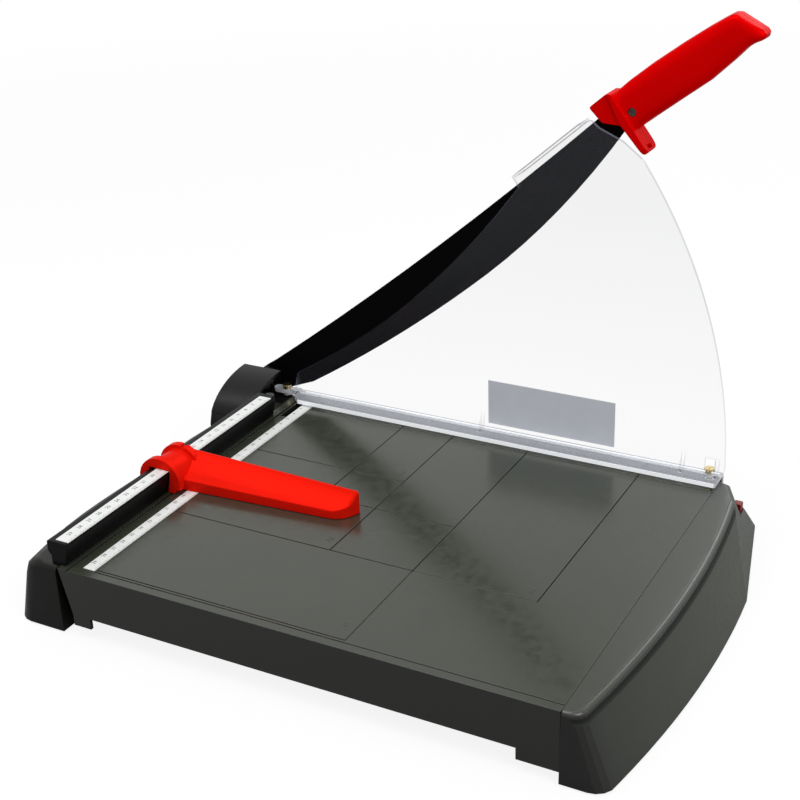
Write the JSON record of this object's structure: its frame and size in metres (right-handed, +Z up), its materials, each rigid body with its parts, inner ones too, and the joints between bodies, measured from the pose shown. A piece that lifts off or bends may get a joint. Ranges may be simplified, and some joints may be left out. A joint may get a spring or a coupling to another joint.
{
  "type": "guillotine paper cutter",
  "caption": "Desk guillotine paper cutter with a hollow board, a red-handled pivoting blade arm, a clear sprung shield that presses the paper, a sliding paper guide and an arm latch.",
  "frame": {"origin": "middle of the bounding box at rest, at table height, under the rubber feet", "axes": "+Z up, +X towards the blade side, -Y towards the operator and the handle, +Y towards the pivot"},
  "size_m": [0.3318, 0.4566, 0.3743],
  "materials": {
    "charcoal_plastic": "satin, fine texture",
    "black_aluminium": "satin black",
    "black_steel": "satin black",
    "blade_steel": "ground",
    "zinc_steel": "zinc plated",
    "brass": "polished",
    "deep_red": "semi-gloss",
    "bright_red": "semi-gloss",
    "rubber": "matte",
    "white_strip": "printed strip",
    "silver_label": "satin",
    "nylon": "natural",
    "clear_plastic": "clear"
  },
  "bodies": {
    "base": {"beam_screw_1": "zinc_steel", "beam_screw_2": "zinc_steel", "beam_screw_3": "zinc_steel", "beam_screw_4": "zinc_steel", "board": "charcoal_plastic", "bracket_screw_1": "zinc_steel", "bracket_screw_2": "zinc_steel", "fixed_blade": "blade_steel", "fixed_blade_screw_1": "zinc_steel", "fixed_blade_screw_2": "zinc_steel", "fixed_blade_screw_3": "zinc_steel", "fixed_blade_screw_4": "zinc_steel", "front_beam": "charcoal_plastic", "hub_cover": "charcoal_plastic", "pivot_bolt": "zinc_steel", "pivot_bracket": "black_steel", "pivot_nut": "zinc_steel", "pivot_shim": "nylon", "rail": "black_aluminium", "rail_screw_1": "zinc_steel", "rail_screw_2": "zinc_steel", "rail_strip": "white_strip", "rear_beam": "charcoal_plastic", "rubber_foot_1": "rubber", "rubber_foot_2": "rubber", "rubber_foot_3": "rubber", "rubber_foot_4": "rubber", "scale_strip": "white_strip", "shield_screw_front": "brass", "shield_screw_rear": "brass", "shield_spring_front": "blade_steel", "shield_spring_rear": "blade_steel", "spring_washer": "zinc_steel"},
    "arm": {"arm_bar": "black_steel", "blade_nut_1": "black_steel", "blade_nut_2": "black_steel", "blade_screw_1": "black_steel", "blade_screw_2": "black_steel", "cutting_blade": "black_steel", "handle_half_left": "deep_red", "handle_half_right": "deep_red", "handle_nut": "zinc_steel", "handle_screw": "zinc_steel"},
    "shield": {"shield": "clear_plastic", "shield_label": "silver_label"},
    "guide": {"guide_leaf": "blade_steel", "paper_guide": "bright_red"},
    "latch": {"arm_latch": "deep_red"}
  },
  "joints": [
    {"name": "arm_pivot", "type": "hinge", "parent": "base", "child": "arm", "pos_m": [0.14207, 0.20015, 0.0562], "axis": [1, 0, 0], "range_deg": [0, 39.8]},
    {"name": "shield_press", "type": "slide", "parent": "base", "child": "shield", "axis": [0, 0, -1], "range_m": [0, 0.0014], "stiffness_N_per_m": 400, "springref_m": -0.01, "deforming": ["shield_spring_rear", "shield_spring_front"]},
    {"name": "guide_slide", "type": "slide", "parent": "base", "child": "guide", "axis": [1, 0, 0], "range_m": [-0.108, 0.088]},
    {"name": "latch_slide", "type": "slide", "parent": "base", "child": "latch", "axis": [0, 1, 0], "range_m": [0, 0.0042]}
  ]
}
